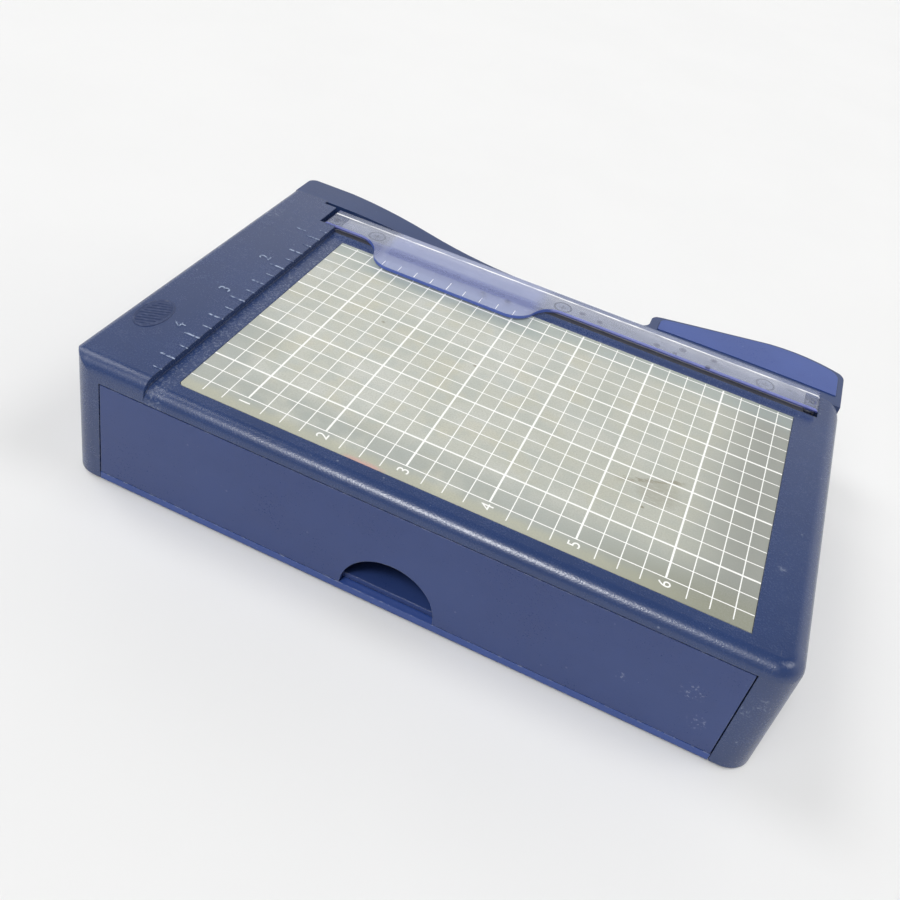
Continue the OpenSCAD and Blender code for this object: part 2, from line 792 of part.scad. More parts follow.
// Outline of the handle seen from above, from x0 to x1 and drawn in by a border at its back.
// The straight back edge crosses the round end at three degrees, and the corners cross their edges.
module handle_plan(border, x0, x1) {
  r = handle_r - border;
  c = [right_x - handle_apex, handle_w - handle_r];
  touch = c + r * cos(3) * [-sin(handle_slope), cos(handle_slope)];
  corner = handle_corner_r;
  end = handle_end_r;
  x_l = x0 + corner;
  y_l = touch[1] - (touch[0] - x_l) * tan(handle_slope) - corner / cos(handle_slope);
  x_r = x1 - end;
  y_r = c[1] + sqrt(pow(r - end, 2) - pow(x_r - c[0], 2));
  x_t = c[0] + (x_r - c[0]) * r / (r - end);
  difference() {
    intersection() {
      translate([x0, 0]) square([x1 - x0, handle_w]);
      union() {
        translate(c) circle(r, $fn = wide);
        polygon([
          [x0 - past, -past], [touch[0], -past], touch,
          [x0 - past, touch[1] - (touch[0] - x0 + past) * tan(handle_slope)]
        ]);
      }
    }
    difference() {
      translate([x0 - past, y_l]) square([past + corner * (1 - sin(handle_slope)), handle_w]);
      translate([x_l, y_l]) circle(corner + graze);
    }
    difference() {
      translate([x_t, y_r]) square([x1 - x_t + past, handle_w]);
      translate([x_r, y_r]) circle(end + graze);
    }
  }
}

// Outline of the arm seen from above, from its front face at zero
module arm_plan() {
  taper_x = left_x + hinge_l;
  difference() {
    union() {
      polygon([
        [arm_x0, 0], [handle_x0 + handle_corner_r, 0], [handle_x0 + handle_corner_r, neck_t],
        [taper_x + taper_l, neck_t], [taper_x, hinge_t], [arm_x0, hinge_t]
      ]);
      handle_plan(0, handle_x0, right_x);
      translate([handle_x0, neck_t]) mirror([1, 0]) difference() {
        square(handle_corner_r);
        translate([handle_corner_r, handle_corner_r]) circle(handle_corner_r + graze);
      }
    }
    translate([arm_x0, hinge_t]) mirror([0, 1]) corner_waste(handle_corner_r);
  }
}

// Top of the handle seen from the front, lowered by a depth
module handle_arch(depth) {
  translate([right_x - handle_arch_x, deck_z - handle_drop - handle_arch_r - depth])
    circle(handle_arch_r, $fn = 2 * wide);
}

// Outline of the arm seen from the front
module arm_profile() {
  low = deck_z - arm_drop;
  fall_x = left_x + hinge_l + 2;
  neck_z = deck_z - neck_drop;
  rise_x = handle_x0 + rise_l * 0.6;
  rise = neck_drop - handle_drop + arch(right_x - handle_arch_x - rise_x) - graze;
  end_r = 3;
  translate([pivot_x, pivot_z]) circle(hinge_r);
  translate([left_x - past, pivot_z]) square([fall_x - left_x + past, deck_z + arm_top - pivot_z]);
  translate([pivot_x, low]) square([rise_x - pivot_x + past, neck_z - low]);
  translate([fall_x, neck_z]) s_fall(fall_l, arm_top + neck_drop);
  translate([rise_x, neck_z]) polygon([
    [-rise_l, -past], [past, -past], [past, rise], [0, rise], [-rise_l, 0]
  ]);
  difference() {
    intersection() {
      translate([rise_x, low]) square([right_x - rise_x, arm_drop - handle_drop]);
      handle_arch(0);
    }
    translate([right_x, low]) mirror([1, 0]) corner_waste(end_r);
  }
}

// Waste outside the rounded upper edge along the handle's back
module handle_rim() {
  c = [right_x - handle_apex, arm_y + handle_w - handle_r];
  z = deck_z - handle_drop;
  module edge() {
    difference() {
      translate([-rim_r, z - rim_r]) square(rim_r + past);
      translate([-rim_r, z - rim_r]) circle(rim_r + graze);
    }
  }
  translate(c) rotate(20) rotate_extrude(angle = 70 + handle_slope, $fn = wide)
    translate([handle_r, 0]) edge();
  translate(c) rotate(90 + handle_slope) translate([handle_r * cos(3), handle_l, 0]) rotate([90, 0, 0])
    linear_extrude(handle_l + 6) edge();
}

// Room of the grip pad, from its underside up to a height over the handle's top
module grip_form(gap, top) {
  intersection() {
    translate([0, arm_y, under_z]) linear_extrude(deck_t + past) intersection() {
      handle_plan(grip_border - gap, handle_x0 + grip_left - gap, right_x - grip_right + gap);
      translate([handle_x0, grip_front - gap]) square([handle_l, handle_w]);
    }
    along_y(arm_y, arm_y + handle_w) difference() {
      handle_arch(-top);
      handle_arch(grip_t - grip_proud);
    }
  }
}

module blade_arm() {
  slot_w = stop_d + 2 * pivot_gap;
  slack = asin(pivot_gap / stop_r);
  color(navy) difference() {
    intersection() {
      translate([0, arm_y, 0]) linear_extrude(fence_z + past) arm_plan();
      along_y(arm_y - past, arm_y + handle_w + past) arm_profile();
    }
    handle_rim();
    grip_form(grip_gap, past);
    translate([pivot_x, 0, pivot_z]) {
      rod_y(bush_d, arm_y - past, arm_y + hinge_t + past);
      rod_y(washer_d + 4 * snug, arm_y - past, arm_y + recess_d);
      rod_y(bolt_head_d + 4 * snug, bolt_seat_y - snug, arm_y + hinge_t + past);
      translate([0, arm_y + stop_in + pivot_gap, 0]) rotate([90, 0, 0]) {
        rotate(-arm_swing - slack) rotate_extrude(angle = arm_swing + 2 * slack)
          translate([stop_r - slot_w / 2, 0]) square([slot_w, stop_in + pivot_gap + past]);
        for (a = [slack, -arm_swing - slack])
          rotate(a) translate([stop_r, 0, 0])
            cylinder(d = slot_w + 2 * graze, h = stop_in + pivot_gap + past);
      }
    }
    for (x = blade_screw_xs)
      translate([x, 0, blade_screw_z])
        rod_y(screw_d + 2 * snug, arm_y - past, cut_y + blade_gap + blade_screw_l + snug);
  }
}

module handle_grip() {
  color(bright) grip_form(0, grip_proud);
}

module cutting_blade() {
  top = deck_z - blade_drop;
  edge_z = deck_z - edge_drop;
  face_y = cut_y + blade_gap;
  color(steel) difference() {
    intersection() {
      translate([blade_x0 - heel_r / 2, face_y, edge_z])
        cube([blade_x1 - blade_x0 + heel_r / 2, blade_t, top - edge_z]);
      translate([knife_mid, face_y, edge_z + edge_r]) rotate([-90, 0, 0])
        rotate_extrude($fn = 2 * wide) polygon([
          [0, 0], [edge_r, 0], [edge_r, edge_t], [edge_r - grind_w, blade_t], [0, blade_t]
        ]);
    }
    translate([pivot_x, 0, pivot_z]) rod_y(2 * heel_r, face_y - past, arm_y + past);
    for (x = blade_screw_xs)
      translate([x, face_y, blade_screw_z]) rotate([-90, 0, 0]) screw_room(blade_screw_l);
  }
}

module blade_screws() {
  color(zinc) for (x = blade_screw_xs)
    translate([x, cut_y + blade_gap, blade_screw_z]) rotate([-90, 0, 0]) flat_screw(blade_screw_l);
}

module pivot_bush() {
  color([0.72, 0.58, 0.30]) translate([pivot_x, 0, pivot_z]) difference() {
    rod_y(bush_d, arm_y + recess_d, bolt_seat_y - snug);
    rod_y(bolt_d + 2 * bush_gap, arm_y, arm_y + hinge_t);
  }
}

module pivot_bolt() {
  color(zinc) translate([pivot_x, 0, pivot_z]) difference() {
    union() {
      rod_y(bolt_d, nut_y - bolt_over, bolt_seat_y + snug);
      rod_y(bolt_head_d, bolt_seat_y, bolt_seat_y + bolt_head_h);
    }
    translate([0, bolt_seat_y + bolt_head_h / 3, 0]) rotate([-90, 0, 0])
      cylinder(d = bolt_d, h = bolt_head_h, $fn = 6);
  }
}

// Ring on the pivot's axis
module pivot_ring(d, y0, y1) {
  translate([pivot_x, 0, pivot_z]) difference() {
    rod_y(d, y0, y1);
    rod_y(bolt_d + 2 * snug, y0 - past, y1 + past);
  }
}

module pivot_washer() {
  color(zinc) pivot_ring(washer_d, boss_y1, boss_y1 + washer_t);
}

module disc_spring() {
  hole = bolt_d / 2 + snug;
  rim = disc_d / 2;
  color(steel) translate([pivot_x, boss_y0 - disc_h, pivot_z]) rotate([-90, 0, 0]) rotate_extrude()
    polygon([[hole, 0], [rim, disc_h - disc_t], [rim, disc_h], [hole, disc_t]]);
}

module pivot_nut() {
  color(zinc) translate([pivot_x, nut_y, pivot_z]) rotate([-90, 0, 0]) difference() {
    cylinder(d = nut_af / cos(30), h = nut_h, $fn = 6);
    translate([0, 0, -past]) cylinder(d = bolt_d + 2 * snug, h = nut_h + 2 * past);
  }
}

module stop_pin() {
  color(steel) translate([pivot_x + stop_r, 0, pivot_z])
    rod_y(stop_d, boss_y1 - boss_t / 2, arm_y + stop_in);
}

housing();
base_plate();
base_screws();
rubber_feet();
drawer();
grid_panel();
panel_tape();
bed_knife();
bed_knife_screws();
guard();
guard_springs();
guard_clips();
blade_arm();
handle_grip();
cutting_blade();
blade_screws();
pivot_bush();
pivot_bolt();
pivot_washer();
disc_spring();
pivot_nut();
stop_pin();
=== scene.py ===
"""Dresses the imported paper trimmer: finishes, printed grid, moulded ruler, light and camera."""
import json
import math

import bmesh
import bpy
from mathutils import Matrix, Vector


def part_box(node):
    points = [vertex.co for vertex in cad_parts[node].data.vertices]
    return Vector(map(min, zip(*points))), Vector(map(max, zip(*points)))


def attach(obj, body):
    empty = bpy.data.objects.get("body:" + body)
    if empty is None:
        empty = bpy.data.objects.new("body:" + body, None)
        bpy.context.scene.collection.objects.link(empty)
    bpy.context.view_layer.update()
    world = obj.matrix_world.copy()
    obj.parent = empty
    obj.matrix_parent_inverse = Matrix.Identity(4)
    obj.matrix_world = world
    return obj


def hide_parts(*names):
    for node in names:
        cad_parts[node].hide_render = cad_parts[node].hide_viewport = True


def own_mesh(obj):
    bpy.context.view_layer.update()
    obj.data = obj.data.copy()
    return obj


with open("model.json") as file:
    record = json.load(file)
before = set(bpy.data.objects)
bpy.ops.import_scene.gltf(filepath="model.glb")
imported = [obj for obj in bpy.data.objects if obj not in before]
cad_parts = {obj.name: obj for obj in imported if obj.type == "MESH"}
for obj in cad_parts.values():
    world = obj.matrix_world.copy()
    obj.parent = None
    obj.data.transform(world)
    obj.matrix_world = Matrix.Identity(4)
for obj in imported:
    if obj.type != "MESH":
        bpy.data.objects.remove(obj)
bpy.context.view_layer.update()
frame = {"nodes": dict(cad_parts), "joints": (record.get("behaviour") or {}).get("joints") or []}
nodes = frame["nodes"]
MM = 0.001


def tone(red, green, blue):
    """A colour given as it shows on a screen, 0 to 255, in the linear numbers that shaders take."""
    return tuple(
        c / 12.92 if c <= 0.04045 else ((c + 0.055) / 1.055) ** 2.4
        for c in (red / 255, green / 255, blue / 255)
    ) + (1.0,)


class Wire:
    """One output of a finish's nodes. Arithmetic on it adds Math nodes."""

    def __init__(self, finish, socket):
        self.finish, self.socket = finish, socket

    def maths(self, operation, *values):
        """One Math node."""
        return self.finish.node("ShaderNodeMath", {"operation": operation}, dict(enumerate(values)))

    def __add__(self, other):
        return self.maths("ADD", self, other)

    def __radd__(self, other):
        return self.maths("ADD", other, self)

    def __sub__(self, other):
        return self.maths("SUBTRACT", self, other)

    def __rsub__(self, other):
        return self.maths("SUBTRACT", other, self)

    def __mul__(self, other):
        return self.maths("MULTIPLY", self, other)

    def __rmul__(self, other):
        return self.maths("MULTIPLY", other, self)

    def __truediv__(self, other):
        return self.maths("DIVIDE", self, other)

    def __lt__(self, other):
        return self.maths("LESS_THAN", self, other)

    def __abs__(self):
        return self.maths("ABSOLUTE", self)

    def __or__(self, other):
        return self.maths("MAXIMUM", self, other)

    def rise(self, low, high):
        """0 below low, 1 above high, and a smooth step between; low above high turns it round."""
        return self.finish.node(
            "ShaderNodeMapRange",
            {"interpolation_type": "SMOOTHSTEP"},
            {"Value": self, "From Min": low, "From Max": high},
        )


class Shading:
    """A node tree whose nodes are added by plain calls."""

    def __init__(self, tree):
        self.tree = tree

    def node(self, kind, settings=None, inputs=None, output=0):
        """Adds one node: its settings first, then its sockets' values or links; gives one output."""
        made = self.tree.nodes.new(kind)
        for key, value in (settings or {}).items():
            setattr(made, key, value)
        for key, value in (inputs or {}).items():
            self.feed(made.inputs[key], value)
        return Wire(self, made.outputs[output])

    def feed(self, socket, value):
        """Links a wire to a socket, or sets the socket's own value."""
        if isinstance(value, Wire):
            self.tree.links.new(value.socket, socket)
        else:
            socket.default_value = value

    def vector(self, operation, *values, output=0, **named):
        """One Vector Math node."""
        inputs = {**dict(enumerate(values)), **named}
        return self.node("ShaderNodeVectorMath", {"operation": operation}, inputs, output)

    def mix(self, share, first, second):
        """A colour from first to second by share."""
        first_socket, second_socket, result = 6, 7, 2  # the Mix node's sockets for colours
        return self.node(
            "ShaderNodeMix",
            {"data_type": "RGBA", "clamp_factor": True},
            {0: share, first_socket: first, second_socket: second},
            result,
        )

    def part(self, vector, axis):
        """One axis of a vector."""
        return self.node("ShaderNodeSeparateXYZ", None, {0: vector}, axis)


class Finish(Shading):
    """One surface finish: a Principled shader and the nodes that vary it, in the part's millimetres."""

    def __init__(self, name, **constants):
        self.material = bpy.data.materials.new(name)
        self.material.use_nodes = True
        super().__init__(self.material.node_tree)
        self.tree.nodes.clear()
        self.shader = self.tree.nodes.new("ShaderNodeBsdfPrincipled")
        self.out = self.tree.nodes.new("ShaderNodeOutputMaterial")
        self.tree.links.new(self.shader.outputs[0], self.out.inputs["Surface"])
        for words, value in constants.items():
            self.shader.inputs[words.replace("_", " ")].default_value = value
        place = self.node("ShaderNodeTexCoord", output="Object")
        self.place = self.vector("SCALE", place, Scale=1 / MM)

    def set(self, **sockets):
        """Feeds the shader: set(Base_Color=..., Roughness=...)."""
        for words, value in sockets.items():
            self.feed(self.shader.inputs[words.replace("_", " ")], value)
        return self.material

    def noise(self, size, detail=2.0, stretch=(1, 1, 1), shift=0.0):
        """Cloudy noise about 0.5 with features of about size mm, drawn out by stretch."""
        spread = tuple(1 / (size * s) for s in stretch)
        at = self.vector("MULTIPLY_ADD", self.place, spread, (shift, shift * 0.7, shift * 1.3))
        return self.node(
            "ShaderNodeTexNoise", None, {"Vector": at, "Scale": 1.0, "Detail": detail, "Roughness": 0.6}
        )

    def dots(self, size, share, shift=0.0):
        """1 in tiny round specks, in about share of cells that are size mm apart."""
        at = self.vector("MULTIPLY_ADD", self.place, (1 / size,) * 3, (shift,) * 3)
        cells = {"Vector": at, "Scale": 1.0, "Randomness": 1.0}
        near = self.node("ShaderNodeTexVoronoi", None, cells)
        pick = self.node("ShaderNodeTexVoronoi", None, cells, "Color")
        chosen = self.node("ShaderNodeSeparateColor", None, {0: pick}) < share
        return chosen * near.rise(0.13, 0.06)

    def coordinate(self, axis):
        """The place along an axis, in millimetres."""
        return self.part(self.place, axis)

    def facing(self, axis):
        """How far the surface faces along an axis, -1 to 1."""
        return self.part(self.node("ShaderNodeNewGeometry", output="True Normal"), axis)

    def spot(self, across, along, radius):
        """1 at a place counted from the grid's corner, fading to 0 at radius mm, with a ragged rim."""
        x, y = across + GRID_X, along + GRID_Y
        dx, dy = self.coordinate("X") - x, self.coordinate("Y") - y
        ragged = self.noise(radius * 0.7, 3, shift=x) * 0.9 + 0.55
        return ((dx * dx + dy * dy) * ragged).rise(radius * radius, radius * radius * 0.15)

    def scrapes(self, places, axes, corner):
        """1 in the middle of each place, fading to 0 at its radius, counted from a corner."""
        across, along = (self.coordinate(axis) - start for axis, start in zip(axes, corner))
        found = 0.0
        for a, b, radius in places:
            da, db = across - a, along - b
            found = (da * da + db * db).rise(radius * radius, radius * radius * 0.1) | found
        return found

    def soft_edge(self, radius):
        """The normal with every edge rounded by radius mm, and a mask that is 1 on those edges."""
        rounded = self.node("ShaderNodeBevel", {"samples": 4}, {"Radius": radius * MM})
        normal = self.node("ShaderNodeNewGeometry", output="Normal")
        turned = self.vector("DOT_PRODUCT", rounded, normal, output="Value")
        return rounded, turned.rise(0.995, 0.9)

    def bump(self, height, depth, normal=None):
        """The normal bent by height, where a height of 1 stands depth mm proud."""
        inputs = {"Height": height, "Distance": depth * MM}
        if normal is not None:
            inputs["Normal"] = normal
        return self.node("ShaderNodeBump", None, inputs)


# Places that the printing and the finishes share, in millimetres.
QUARTER = 6.35  # one square of the grid, a quarter inch
panel_low, panel_high = (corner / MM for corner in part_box("grid_panel"))
guard_low, guard_high = (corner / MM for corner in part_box("guard"))
knife_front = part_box("bed_knife")[0].y / MM
screws_low, screws_high = (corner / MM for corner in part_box("bed_knife_screws"))
screw_r = (screws_high.y - screws_low.y) / 2
SCREW_RINGS = [  # x, y and radius of the dark rings round the knife's screw heads
    (x, screws_low.y + screw_r, screw_r)
    for x in (screws_low.x + screw_r, (screws_low.x + screws_high.x) / 2, screws_high.x - screw_r)
]
fence_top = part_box("housing")[1].z / MM
deck = panel_high.z
GRID_X, GRID_Y = panel_low.x - 6.0, panel_low.y - 0.1  # where the quarter-inch count starts
STRIP_Y = knife_front + 0.4  # front edge of the guard's straight strip
CREST_Y = guard_high.y - 4.0  # ridge along the guard
# Worn places, counted from the grid's corner on the deck.
FRONT_SCRAPES = (  # x, z and radius
    (169.6, -20.1, 4.2), (174.1, -29.8, 3.4), (151.7, -25.6, 2.2),
    (185.9, -14.3, 3.2), (183.0, -18.6, 2.4),
)
TOP_SCRAPES = ((-24.0, 102.5, 5.0), (-24.6, 68.8, 2.6), (181.4, 27.3, 2.2))  # x, y and radius
GUARD_STAINS = (  # x, y and radius
    (97.5, 112.6, 1.6), (104.5, 111.4, 1.4), (125.9, 110.8, 1.6),
    (134.8, 114.0, 1.7), (132.6, 110.1, 1.2), (146.0, 114.5, 1.5),
    (144.7, 109.3, 1.3), (71.9, 103.2, 1.8), (62.6, 102.6, 1.6),
)
PANEL_SPECKS = ((75.4, 62.6, 0.8), (40.4, 66.3, 0.8), (140.3, 29.4, 0.8))  # x, y and radius
PANEL_BLOT = (143.0, 38.0, 8.0)  # x, y and radius
PANEL_RUB_X, PANEL_RUB_Y = 139.5, 41.5  # middle of the rubbed stain on the panel
PANEL_FLUSH_X = 65.5  # middle of the pink flush on the panel's front edge


def moulded(
    name, deep, pale, pale_mark, gloss, grain, depth, edge_wear=0.5, marks=1.0, edge_size=0.4,
    speckled=False, scraped=False, shine=0.5,
):
    """Moulded plastic with a fine spark texture, dust, scuffs and rubbed edges.

    grain is the size of the texture and depth its height, in millimetres. speckled adds dust along
    the gutter beside the fence, and scraped adds the scrapes listed above.
    """
    f = Finish(name, Specular_IOR_Level=shine)
    rounded, edge = f.soft_edge(edge_size)
    cloud = f.noise(26, 3)
    film = f.noise(6, 5, shift=3.1).rise(0.5, 0.78)
    upward = f.facing("Z").rise(0.5, 0.9)
    scuff = f.noise(0.9, 2, (9, 1, 4), 7.3).rise(0.68, 0.76)
    scuff = scuff * f.noise(16, 1, shift=2.2).rise(0.52, 0.64) * upward
    scratch = f.noise(0.3, 1, (1, 14, 14), 5.7).rise(0.72, 0.77)
    scratch = scratch * f.noise(11, 1, shift=9).rise(0.56, 0.66)
    dust = f.dots(3.4, 0.08) | f.dots(1.7, 0.05, 4.0)
    if speckled:
        x = f.coordinate("X") - GRID_X
        gutter = x.rise(0.2, 0.8) * x.rise(6.2, 5.0)
        dust = dust | gutter * f.noise(0.8, 3, shift=6.4).rise(0.50, 0.66) * 0.8
    rubbed = edge * f.noise(1.6, 3, shift=1.4).rise(0.47, 0.68) * edge_wear
    if scraped:
        streaks = f.noise(0.8, 3, (1.5, 1, 1.5), 4.2).rise(0.54, 0.66)
        frontward = f.facing("Y").rise(-0.3, -0.6)
        on_front = f.scrapes(FRONT_SCRAPES, "XZ", (GRID_X, deck)) * streaks * frontward
        on_top = f.scrapes(TOP_SCRAPES, "XY", (GRID_X, GRID_Y)) * streaks * upward
        rubbed = rubbed | on_front * 0.5 | on_top * 0.65
    stipple = f.noise(grain, 1.5)
    colour = f.mix(cloud.rise(0.3, 0.7), deep, pale)
    colour = f.mix(film * 0.02 * marks, colour, pale_mark)
    colour = f.mix((scuff * 0.08 | scratch * 0.20) * marks, colour, pale_mark)
    colour = f.mix(rubbed | dust * 0.4 * marks, colour, pale_mark)
    rough = gloss + (cloud - 0.5) * 0.06 + film * 0.03 + scuff * 0.06 + (stipple - 0.5) * 0.12
    return f.set(
        Base_Color=colour,
        Roughness=rough,
        Normal=f.bump(stipple + scratch * -0.3 + dust * 0.3, depth, rounded),
    )


def frosted_panel():
    """The cloudy plastic panel: pale grey, darker to the right, with painted shade in front, at the
    front left and under the guard's ledge.
    """
    f = Finish("frosted_panel_sheet", IOR=1.46)
    rounded, _ = f.soft_edge(0.25)
    x, y = f.coordinate("X") - GRID_X, f.coordinate("Y") - GRID_Y
    drift = f.noise(17, 3, shift=4.4)
    clouds = drift.rise(0.42, 0.66)
    wander = (drift - 0.5) * 22
    # Masks for painted shade: greyer along the front and at the front left.
    painted_front_shade = (y + wander * 0.5).rise(23, 8)
    painted_left_shade = (x + wander * 0.6).rise(24, 13) * (0.25 + 0.75 * (y + wander).rise(46, 34))
    right = (x + wander * 0.4).rise(146, 172)
    corner = (x + wander).rise(112, 165) * y.rise(17, 5)
    # Masks for painted shade of the guard on the panel: under its ledge and along the back.
    ledge = y.rise(86, 94) * x.rise(12, 24) * x.rise(98, 84)
    guard_shade_band = (y + wander * 0.3).rise(91, 99)
    margin = (y + f.noise(6, 2, shift=6) * 3).rise(7.5, 3.5)
    grain = f.noise(0.5, 2.5)
    fibre = f.noise(0.6, 3, (5, 1, 1), 3.3)
    rub_x, rub_y = x - PANEL_RUB_X, y - PANEL_RUB_Y
    across = rub_x * 0.445 - rub_y * 0.895  # the stain slants up to the right
    along = rub_x * 0.895 + rub_y * 0.445
    rub = abs(across + (fibre - 0.5) * 5).rise(1.2, 0.2) * abs(along + wander * 0.3).rise(12, 8)
    brown = f.spot(*PANEL_BLOT) * 0.35 | rub * 0.65
    for speck in PANEL_SPECKS:
        brown = brown | f.spot(*speck) * 0.7
    flush = abs(x - PANEL_FLUSH_X + (fibre - 0.5) * 6).rise(7.5, 3) * (y + fibre * 2).rise(3.0, 1.2)
    colour = f.mix(clouds, tone(190, 192, 182), tone(197, 199, 192))
    colour = f.mix(f.noise(10, 2, shift=8.1).rise(0.46, 0.62) * 0.30, colour, tone(164, 174, 172))
    colour = f.mix(f.noise(12, 2, shift=12.7).rise(0.50, 0.66) * 0.30, colour, tone(196, 191, 166))
    colour = f.mix(x.rise(70, 150) * 0.5, colour, tone(174, 176, 165))
    # Painted shade along the front and at the front left.
    colour = f.mix(painted_front_shade * 0.75 * drift.rise(0.28, 0.50) | painted_left_shade * 0.6, colour, tone(158, 164, 160))
    colour = f.mix(margin * 0.45, colour, tone(188, 185, 156))
    colour = f.mix(right * 0.85, colour, tone(139, 142, 137))
    colour = f.mix(corner * 0.6, colour, tone(136, 137, 116))
    # Painted shade of the guard: teal grey under its ledge and along the back.
    colour = f.mix(guard_shade_band * 0.5 | ledge * 0.6, colour, tone(146, 161, 162))
    colour = f.mix(brown * fibre.rise(0.30, 0.52), colour, tone(116, 108, 80))
    colour = f.mix(flush * 0.55, colour, tone(224, 150, 150))
    colour = f.mix((grain - 0.5) * 1.7 + (fibre - 0.5) * 0.2 + 0.18, colour, tone(156, 157, 148))
    return f.set(
        Base_Color=colour,
        Roughness=0.36 + clouds * 0.08 + (grain - 0.5) * 0.25,
        Normal=f.bump(grain + fibre * 0.5, 0.02, rounded),
    )


def clear_guard():
    """Clear lavender plastic: see-through faces, blue where light leaves its edges, a painted highlight
    along the ridge, and painted shade over the end pockets, on the ledge's slope and on the strip's
    lower edge.
    """
    f = Finish("clear_guard_plastic", IOR=1.49)
    rounded, _ = f.soft_edge(0.25)
    x, y, z = f.coordinate("X") - GRID_X, f.coordinate("Y"), f.coordinate("Z")
    steep = abs(f.facing("Z")).rise(0.62, 0.3)
    left_end, right_end = guard_low.x - GRID_X, guard_high.x - GRID_X
    ends = x.rise(left_end + 1.4, left_end + 1.0) | x.rise(right_end - 1.4, right_end - 1.0)
    side = steep * (y.rise(STRIP_Y + 0.8, STRIP_Y + 0.5) | ends)
    top = z.rise(guard_high.z - 0.95, guard_high.z - 0.6)
    ledge = y.rise(STRIP_Y - 0.5, STRIP_Y - 1.2)
    finger = x.rise(19, 24) * x.rise(86, 79)
    painted_slope_shade = y.rise(STRIP_Y - 6.0, STRIP_Y - 4.0) * y.rise(STRIP_Y + 0.6, STRIP_Y - 1.6) * finger
    flank = ledge * x.rise(25.0, 19.0)
    pocket_shade = x.rise(3.5, 1.5) | x.rise(168, 170)
    smear = f.noise(9, 4, (2.2, 1, 1), 5.1).rise(0.42, 0.75)
    scratch = f.noise(0.22, 1, (18, 1, 1), 6.6).rise(0.72, 0.78)
    # Painted highlight: a white line along the ridge, broken up in patches.
    ridge = abs(y - CREST_Y + (f.noise(9, 2, shift=1.2) - 0.5) * 0.3)
    patchy = 0.30 + 0.70 * f.noise(4, 3, (4, 1, 1), 8.8).rise(0.34, 0.56)
    pale_mark = ridge.rise(0.72, 0.25) * patchy * top
    behind = y.rise(CREST_Y, CREST_Y + 0.4)
    stain = f.noise(1.5, 4, (1.6, 1, 1), 2.4).rise(0.70, 0.80) * 0.6
    for place in GUARD_STAINS:
        stain = stain | f.spot(*place)
    stain = stain * top
    body = f.mix(finger * 0.75, tone(198, 203, 217), tone(178, 187, 227))
    body = f.mix(behind * 0.5, body, tone(198, 204, 220))
    # Painted shade over the dark pockets under the guard's two ends.
    body = f.mix(pocket_shade * 0.4, body, tone(140, 148, 180))
    # Painted shade on the ledge's slope; the same darker blue also lies on the ledge's left flank.
    body = f.mix(painted_slope_shade * 0.5 | flank * 0.6, body, tone(112, 122, 186))
    # The strip's front edge: bright blue where light leaves it, painted shade on its lower half.
    shaded_lower_half = z.rise(guard_high.z - 0.6, guard_high.z - 1.1)
    strip_edge = f.mix(shaded_lower_half, tone(158, 166, 238), tone(70, 78, 146))
    body = f.mix(side, body, f.mix(ledge, strip_edge, tone(80, 102, 180)))
    body = f.mix(stain * 0.8, body, tone(70, 74, 98))
    # White for the painted highlight along the ridge, and for scratches.
    body = f.mix(pale_mark | scratch * 0.3, body, tone(250, 250, 252))
    f.set(
        Base_Color=body,
        Roughness=0.16 + smear * 0.16 + scratch * 0.2 + pale_mark * 0.3,
        Normal=f.bump(smear * 0.5 + scratch * -0.4, 0.012, rounded),
    )
    clear = f.node("ShaderNodeBsdfTransparent", None, {"Color": (0.90, 0.92, 0.985, 1.0)})
    share = 0.23 + finger * 0.19 + side * 0.62 + smear * 0.08 + flank * 0.2 + stain * 0.45 + pale_mark * 0.7
    plastic = Wire(f, f.shader.outputs[0])
    both = f.node("ShaderNodeMixShader", None, {0: share, 1: clear, 2: plastic})
    f.feed(f.out.inputs["Surface"], both)
    return f.material


def steel(name, bright, dull, gloss, along, stains, painted_shade_front=None, rings=()):
    """Ground metal: fine grinding lines along one axis, dull patches, blue-black stains, and painted
    shade along a given front edge.
    """
    f = Finish(name)
    rounded, edge = f.soft_edge(0.25)
    stretch = tuple(24 if axis == along else 1 for axis in "XYZ")
    lines = f.noise(0.25, 3, stretch)
    patches = f.noise(12, 3, (2, 1, 1), 3.3).rise(0.35, 0.7)
    rust = f.noise(4.5, 4, (1.8, 1, 1), 6.1).rise(0.6, 0.72)
    stain = (rust | edge * f.noise(1.5, 2).rise(0.45, 0.6) * 0.6) * stains
    # Painted shade under the guard: the knife darkens towards its front edge.
    if painted_shade_front is not None:
        ragged = f.coordinate("Y") + f.noise(3, 3, (3, 1, 1)) * 1.2
        stain = stain | ragged.rise(painted_shade_front + 3.6, painted_shade_front + 2.4)
    for rx, ry, radius in rings:
        dx, dy = f.coordinate("X") - rx, f.coordinate("Y") - ry
        stain = stain | abs((dx * dx + dy * dy) / (radius * radius) - 1.0).rise(0.30, 0.18)
    colour = f.mix(patches, bright, dull)
    colour = f.mix((lines - 0.5) * 0.7 + 0.2, colour, dull)
    # Rust, dirty edges, dark rings and the painted shade all take this blue-black.
    colour = f.mix(stain * 0.92, colour, tone(32, 36, 52))
    return f.set(
        Base_Color=colour,
        Metallic=0.92 - stain * 0.6,
        Roughness=gloss + (lines - 0.5) * 0.25 + patches * 0.08 + stain * 0.25,
        Normal=f.bump(lines, 0.008, rounded),
    )


def rubber():
    """Matt black rubber with a bloom of dust."""
    f = Finish("foot_rubber")
    rounded, edge = f.soft_edge(0.4)
    bloom = f.noise(3, 4).rise(0.45, 0.75)
    grain = f.noise(0.3, 2)
    colour = f.mix(bloom * 0.35 + edge * 0.2, tone(34, 34, 36), tone(92, 92, 94))
    return f.set(
        Base_Color=colour,
        Roughness=0.8 + (grain - 0.5) * 0.2,
        Normal=f.bump(grain, 0.02, rounded),
    )


